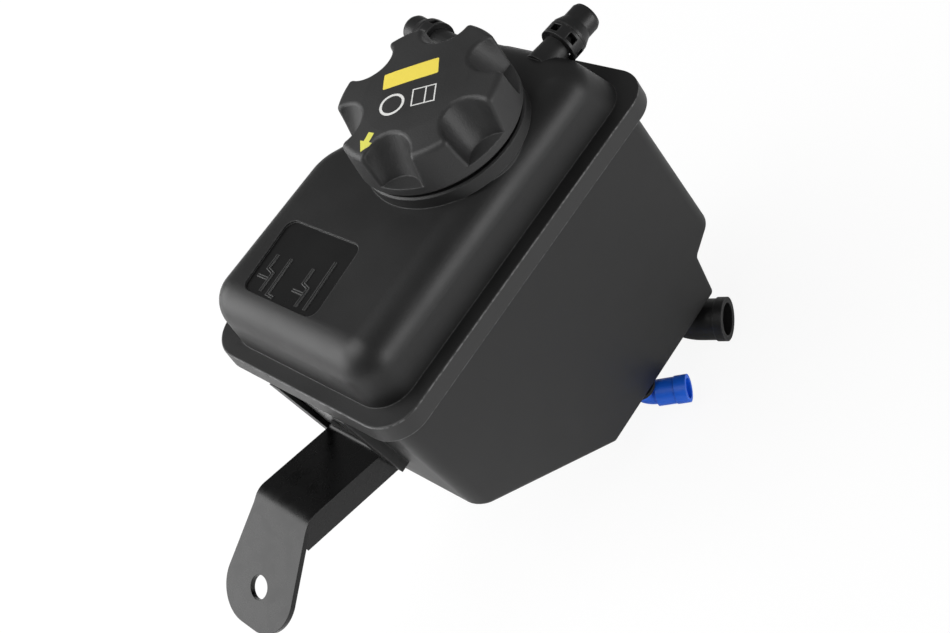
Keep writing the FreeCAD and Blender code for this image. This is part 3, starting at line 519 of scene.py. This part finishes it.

# %% [markdown]
# ## The smooth panel and the skirt's painted light
# The dome's top has a shallow recess with a smoother floor than the grained plastic round it. The
# skirt of the flange is a little paler, which is painted reflected light, and its two edges carry a
# thin broken line that is partly wear and partly painted highlight. Their heights could be written
# down, but then a change in the CAD would leave the looks behind. They are measured on the shell
# instead: the skirt on its outermost points, and the dome's top only in front of the neck, because
# the neck stands higher.

# %% Levels of the shell
NECK_FRONT = 0.14
SIDE_DEPTH = 0.0015
LINE_INSET = 0.0004
upper = [v.co for v in nodes["upper_shell"].data.vertices]
DOME_TOP = max(co.z for co in upper if co.y < NECK_FRONT)
side = min(co.x for co in upper) + SIDE_DEPTH
outermost = [co.z for co in upper if co.x < side]
LINES = (min(outermost) + LINE_INSET, max(outermost) - LINE_INSET)
print("dome top at", round(DOME_TOP, 4), "rubbed lines at", [round(level, 4) for level in LINES])

# %% [markdown]
# The mesh could be split so that the panel and the skirt have materials of their own, but CAD meshes
# stay as packed. Masks do it inside one material. The floor of the recess is level and a millimetre
# below the dome's top. The skirt lies between its two lines and looks sideways.

# %% Shell with a smooth panel
PANEL_SHALLOW, PANEL_DEEP = 0.0008, 0.0012
PANEL_LEVEL = 0.99
PANEL_SMOOTHER = -0.16
PANEL_DARKER = -0.6
LINE_FADE = (0.0005, 0.0003)
LINE_SCALE = 500.0
LINE_SPECKS = (0.42, 0.58)
LINE_SHARE = (0.05, 0.22)
# Painted reflected light: the share by which the skirt's side faces are made paler than the shell.
SKIRT_PAINTED_REFLECTION = 0.03


def panel_floor(tree, height, up):
    depth = maths(tree, "SUBTRACT", DOME_TOP, height)
    below = maths(tree, "GREATER_THAN", depth, PANEL_SHALLOW)
    deep = maths(tree, "MULTIPLY", below, maths(tree, "LESS_THAN", depth, PANEL_DEEP))
    return maths(tree, "MULTIPLY", deep, maths(tree, "GREATER_THAN", up, PANEL_LEVEL))


# A thin line along one edge of the skirt, partly wear and partly painted highlight.
def wear_and_highlight_line(tree, height, level):
    off = maths(tree, "ABSOLUTE", maths(tree, "SUBTRACT", height, level))
    return span(tree, off, *LINE_FADE)


# Painted light on the skirt's side faces: a paler band of painted reflection, and edge lines that are
# partly wear and partly painted highlight.
def skirt_wear_and_painted_light(tree, place, height, up):
    low, high = [wear_and_highlight_line(tree, height, level) for level in LINES]
    speck = noise(tree, place, LINE_SCALE, detail=4.0)
    broken = span(tree, speck, *LINE_SPECKS, *LINE_SHARE)
    line = maths(tree, "MULTIPLY", maths(tree, "MAXIMUM", low, high), broken)
    above = maths(tree, "GREATER_THAN", height, LINES[0])
    within = maths(tree, "MULTIPLY", above, maths(tree, "LESS_THAN", height, LINES[1]))
    skirt = maths(tree, "MULTIPLY", within, SKIRT_PAINTED_REFLECTION)
    sideways = maths(tree, "LESS_THAN", up, LOOKS_UP)
    return maths(tree, "MULTIPLY", maths(tree, "MAXIMUM", line, skirt), sideways)


def panelled_shell():
    mat = plastic("shell with panel", **SHELL, Rubbed=0.06)
    tree = mat.node_tree
    shader = tree.nodes["Principled BSDF"]
    base = shader.inputs["Base Color"]
    rough = shader.inputs["Roughness"]
    place = place_on(tree)
    height = parts_of(tree, place)["Z"]
    up = parts_of(tree, facing_of(tree))["Z"]
    floor = panel_floor(tree, height, up)
    feed(tree, rough, maths(tree, "MULTIPLY_ADD", floor, PANEL_SMOOTHER, rough.links[0].from_socket))
    darker = maths(tree, "MULTIPLY_ADD", floor, PANEL_DARKER, 1.0)
    tone = scaled(tree, base.links[0].from_socket, darker)
    # The skirt's painted reflection and painted highlight lines are laid over the shell's colour here.
    feed(tree, base, blend(tree, skirt_wear_and_painted_light(tree, place, height, up), tone, WEAR_AND_HIGHLIGHT_COLOUR))
    return mat


shell_with_panel = panelled_shell()
print("made", shell_with_panel.name)

# %% [markdown]
# ## Dress the nodes
# The record names a material slot for every piece of the tank. The pieces could be dressed one by one,
# but a loop over the record forgets none. The knob of the cap and the upper shell get the versions
# with print and panel.

# %% Give every node its material
slot_of = {row["node"]: row["material_slot"] for row in frame["record"]["subparts"]}
special = {"cap_knob": cap_print, "upper_shell": shell_with_panel}
for name, obj in nodes.items():
    obj.data.materials.clear()
    obj.data.materials.append(special.get(name, materials[slot_of[name]]))
print("materials set on", len(nodes), "nodes")

# %% [markdown]
# ## Level marks
# The panel carries two small diagrams in raised lines: a stepped line with a stub, and beside it a
# straight line. A bump in the material would be flat from the side, so they are real ridges. Each
# line is a pair of low ridges with sloping flanks, made along a few points. They stand proud of the
# dark floor, and their plastic is a little paler as a painted highlight of the light on their flanks.

# %% Ridges
MARK_FOOT = 0.00042
MARK_CROWN = 0.00024
MARK_HEIGHT = 0.00045
MARK_SINK = -0.0001
PROFILE = [
    (MARK_FOOT, MARK_SINK), (MARK_CROWN, MARK_HEIGHT), (-MARK_CROWN, MARK_HEIGHT), (-MARK_FOOT, MARK_SINK),
]


def offset_points(points, reach):
    """Points moved sideways by reach, on the mitre at each corner."""
    moved = []
    for i, point in enumerate(points):
        ways = []
        if i > 0:
            ways.append((point - points[i - 1]).normalized())
        if i + 1 < len(points):
            ways.append((points[i + 1] - point).normalized())
        sides = [Vector((-way.y, way.x)) for way in ways]
        mitre = sum(sides, Vector((0, 0))).normalized()
        moved.append(point + mitre * (reach / mitre.dot(sides[0])))
    return moved


def ridge(points, level):
    """Corners and faces of one ridge that follows the points."""
    corners = [(p.x, p.y, level + rise) for reach, rise in PROFILE for p in offset_points(points, reach)]
    count = len(points)
    faces = []
    for row in range(len(PROFILE) - 1):
        for i in range(count - 1):
            a = row * count + i
            faces.append((a, a + 1, a + 1 + count, a + count))
    faces.append((0, count, 2 * count, 3 * count))
    faces.append((4 * count - 1, 3 * count - 1, 2 * count - 1, count - 1))
    return corners, faces


print("one ridge is", MARK_FOOT * 2, "m wide and", MARK_HEIGHT, "m high")

# %% [markdown]
# Both diagrams share the stepped line and the stub, given in millimetres from the foot of the step.
# A ray from above finds the floor of the panel, so the ridges start just under it.

# %% Level marks
MARK_GAP = 0.00052
RAY_START = 1.0
STEPPED = [(-5.1, 18.4), (-4.7, 10.8), (-0.6, 9.6), (0.0, 0.0)]
STUB = [(-7.5, 6.3), (-1.1, 6.4)]
HOOKED = [(3.5, 18.8), (4.9, -0.1), (9.1, -0.4)]
STRAIGHT = [(3.4, 25.0), (5.4, 0.1)]
LEFT_FOOT = Vector((-21.8, 97.5)) * MM
RIGHT_FOOT = Vector((1.7, 97.5)) * MM
DOWN = Vector((0, 0, -1))
# Paler than the shell plastic: a painted highlight for the light the ridges catch.
mark_plastic_highlit = plastic("marks with painted highlight", (0.03, 0.03, 0.03), rough=0.42, dust=0.004)


def level_marks(name, foot, beside):
    above = Vector((*foot, RAY_START))
    level = nodes["upper_shell"].ray_cast(above, DOWN)[1].z
    corners = []
    faces = []
    for line in (STEPPED, STUB, beside):
        middle = [foot + Vector(point) * MM for point in line]
        for reach in (-MARK_GAP, MARK_GAP):
            more, sides = ridge(offset_points(middle, reach), level)
            faces += [tuple(i + len(corners) for i in side) for side in sides]
            corners += more
    mesh = bpy.data.meshes.new(name)
    mesh.from_pydata(corners, [], faces)
    marks = bpy.data.objects.new(name, mesh)
    scene.collection.objects.link(marks)
    mesh.materials.append(mark_plastic_highlit)
    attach(marks, "tank")
    return marks


marks = [
    level_marks("left_level_marks", LEFT_FOOT, HOOKED),
    level_marks("right_level_marks", RIGHT_FOOT, STRAIGHT),
]
print("level marks:", [len(obj.data.polygons) for obj in marks], "faces")

# %% [markdown]
# ## Springs
# A spring gets shorter when its valve moves. A stiff one would run into the valve plate, and a bent
# one would need bones. Each is shown by a copy of its CAD mesh with a mesh of its own, on the same
# body, and the CAD node itself is hidden.

# %% Springs


def giving_spring(row):
    name = row["node"]
    wire = bpy.data.objects.new(name + "_wire", nodes[name].data.copy())
    scene.collection.objects.link(wire)
    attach(wire, nodes[name]["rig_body"])
    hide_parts(name)
    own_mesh(wire)
    return wire


springs = []
for joint in frame["joints"]:
    for row in joint.get("deforming_nodes", []):
        springs.append(giving_spring(row))
print("springs:", [wire.name for wire in springs])

# %% [markdown]
# ## Floor
# The floor is a wide pale sheet just under the lowest point. More light would make it white and spoil
# the tank, so the camera sees it as nearly white by itself. An eighth of its own shading stays
# round the tank so that the soft shadow can be seen, and none of it far away.

# %% Floor
FLOOR_DROP = 0.0005
FLOOR_REACH = 4.0
FIBRE_SCALE = 400.0
PAPER_TONE = (0.84, 0.88)
WHITE_STRENGTH = 1.03
SHADED_FROM, SHADED_TO = 0.4, 1.4
WHITE_NEAR, WHITE_FAR = 0.88, 1.0


def floor_material():
    mat = bpy.data.materials.new("pale floor")
    mat.use_nodes = True
    tree = mat.node_tree
    tree.nodes.clear()
    place = place_on(tree)
    pale = span(tree, noise(tree, place, FIBRE_SCALE, detail=3.0), 0.0, 1.0, *PAPER_TONE)
    paper = node(tree, "ShaderNodeBsdfDiffuse", {"Color": pale})
    white = node(tree, "ShaderNodeEmission", {"Color": (1, 1, 1, 1), "Strength": WHITE_STRENGTH})
    seen = node(tree, "ShaderNodeLightPath").outputs["Is Camera Ray"]
    away = vectors(tree, "LENGTH", place)
    share = maths(tree, "MULTIPLY", seen, span(tree, away, SHADED_FROM, SHADED_TO, WHITE_NEAR, WHITE_FAR))
    mix = node(tree, "ShaderNodeMixShader", {0: share, 1: paper.outputs[0], 2: white.outputs[0]})
    node(tree, "ShaderNodeOutputMaterial", {"Surface": mix.outputs[0]})
    return mat


def add_floor():
    level = size_before[0].z - FLOOR_DROP
    corners = [(x * FLOOR_REACH, y * FLOOR_REACH, level) for x, y in ((-1, -1), (1, -1), (1, 1), (-1, 1))]
    mesh = bpy.data.meshes.new("floor")
    mesh.from_pydata(corners, [], [(0, 1, 2, 3)])
    floor = bpy.data.objects.new("floor", mesh)
    scene.collection.objects.link(floor)
    mesh.materials.append(floor_material())
    return floor


floor = add_floor()
print("floor at", round(floor.data.vertices[0].co.z, 4))

# %% [markdown]
# ## Light
# Black plastic shows mostly what it reflects, so small lamps would give hard dots. Three soft boxes
# shape it instead. A wide one stands low at the left, where the leg of the bracket and the rounded
# front look. One stands low on the right for the rounded side of the dome, and one hangs above the
# front for the faces that look up. A weak sky fills the shadows, and the camera sees it as white.

# %% Lights
SKY_FILL = 0.20
SKY_SEEN = 0.80


def soft_box(name, toward, distance, width, height, watts):
    data = bpy.data.lights.new(name, "AREA")
    data.shape = "RECTANGLE"
    data.size = width
    data.size_y = height
    data.energy = watts
    lamp = bpy.data.objects.new(name, data)
    scene.collection.objects.link(lamp)
    aim = (size_before[0] + size_before[1]) / 2
    way = Vector(toward).normalized()
    lamp.location = aim + way * distance
    lamp.rotation_euler = (-way).to_track_quat("-Z", "Y").to_euler()
    return lamp


def studio_sky():
    world = bpy.data.worlds.new("studio")
    world.use_nodes = True
    tree = world.node_tree
    back = tree.nodes["Background"]
    seen = node(tree, "ShaderNodeLightPath").outputs["Is Camera Ray"]
    feed(tree, back.inputs["Color"], (1, 1, 1, 1))
    feed(tree, back.inputs["Strength"], maths(tree, "MULTIPLY_ADD", seen, SKY_SEEN, SKY_FILL))
    return world


lights = [
    soft_box("left box", (-0.68, -0.62, 0.36), distance=1.3, width=1.6, height=0.85, watts=15.5),
    soft_box("right box", (0.95, 0.28, 0.10), distance=1.3, width=1.0, height=0.5, watts=7.0),
    soft_box("top box", (-0.15, -0.36, 0.92), distance=1.6, width=1.2, height=1.2, watts=16.0),
]
scene.world = studio_sky()
print("lights:", [lamp.name for lamp in lights])

# %% [markdown]
# ## Camera
# A camera could be aimed at the middle and turned by eye, but straight edges show the smallest error.
# Its place and its three axes were fitted to the edges of the tank. It is rolled, so the tank leans in
# the picture as it does in the photograph.

# %% Camera
LENS_MM = 46.99
SENSOR_MM = 36.0
NEAREST, FARTHEST = 0.01, 20.0
EYE = Vector((0.37654, -0.00636, 0.42590))
RIGHT = Vector((0.7217, 0.5592, -0.4079))
UP = Vector((-0.2933, 0.7809, 0.5516))
BEHIND = Vector((0.6270, -0.2784, 0.7276))


def add_camera():
    data = bpy.data.cameras.new("camera")
    data.lens = LENS_MM
    data.sensor_width = SENSOR_MM
    data.clip_start = NEAREST
    data.clip_end = FARTHEST
    camera = bpy.data.objects.new("camera", data)
    scene.collection.objects.link(camera)
    turn = Matrix((RIGHT, UP, BEHIND)).transposed().to_4x4()
    camera.matrix_world = Matrix.Translation(EYE) @ turn
    scene.camera = camera
    return camera


camera = add_camera()
print("camera at", [round(v, 3) for v in camera.location])
